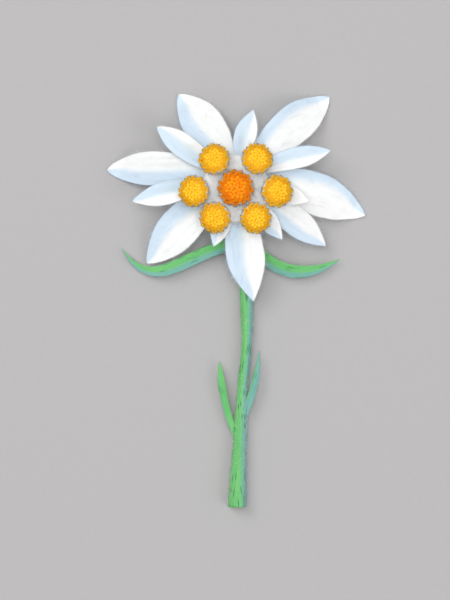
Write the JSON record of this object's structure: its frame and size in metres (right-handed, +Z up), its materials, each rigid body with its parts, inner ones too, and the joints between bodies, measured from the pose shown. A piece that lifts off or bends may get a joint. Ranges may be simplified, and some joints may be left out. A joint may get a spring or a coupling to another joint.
{
  "type": "cut edelweiss flower",
  "caption": "Cut edelweiss lying face up: a star of woolly white bracts round a cluster of yellow and orange flower heads, on a green stem with narrow leaves.",
  "frame": {"origin": "bottom centre of the lying flower's box, on the surface it lies on", "axes": "+Y from the cut end of the stem towards the head, +Z up out of the face of the star, +X to the right when looking down at the face with the stem below"},
  "size_m": [0.0754, 0.1202, 0.018],
  "materials": {
    "bract_felt": "matte",
    "cup_wool": "matte",
    "floret_gold": "satin",
    "floret_orange": "satin",
    "stem_green": "satin",
    "leaf_green": "matte"
  },
  "bodies": {
    "root": {"stem": "stem_green", "receptacle": "cup_wool", "bract_outer_1": "bract_felt", "bract_outer_2": "bract_felt", "bract_outer_3": "bract_felt", "bract_outer_4": "bract_felt", "bract_outer_5": "bract_felt", "bract_outer_6": "bract_felt", "bract_outer_7": "bract_felt", "bract_inner_1": "bract_felt", "bract_inner_2": "bract_felt", "bract_inner_3": "bract_felt", "bract_inner_4": "bract_felt", "bract_inner_5": "bract_felt", "bract_inner_6": "bract_felt", "bract_inner_7": "bract_felt", "leaf_lower_left": "leaf_green", "leaf_lower_right": "leaf_green", "leaf_upper_left": "leaf_green", "leaf_upper_right": "leaf_green", "cup_middle": "cup_wool", "florets_middle": "floret_orange", "cup_east": "cup_wool", "florets_east": "floret_gold", "cup_northeast": "cup_wool", "florets_northeast": "floret_gold", "cup_northwest": "cup_wool", "florets_northwest": "floret_gold", "cup_west": "cup_wool", "florets_west": "floret_gold", "cup_southwest": "cup_wool", "florets_southwest": "floret_gold", "cup_southeast": "cup_wool", "florets_southeast": "floret_gold"}
  },
  "joints": []
}
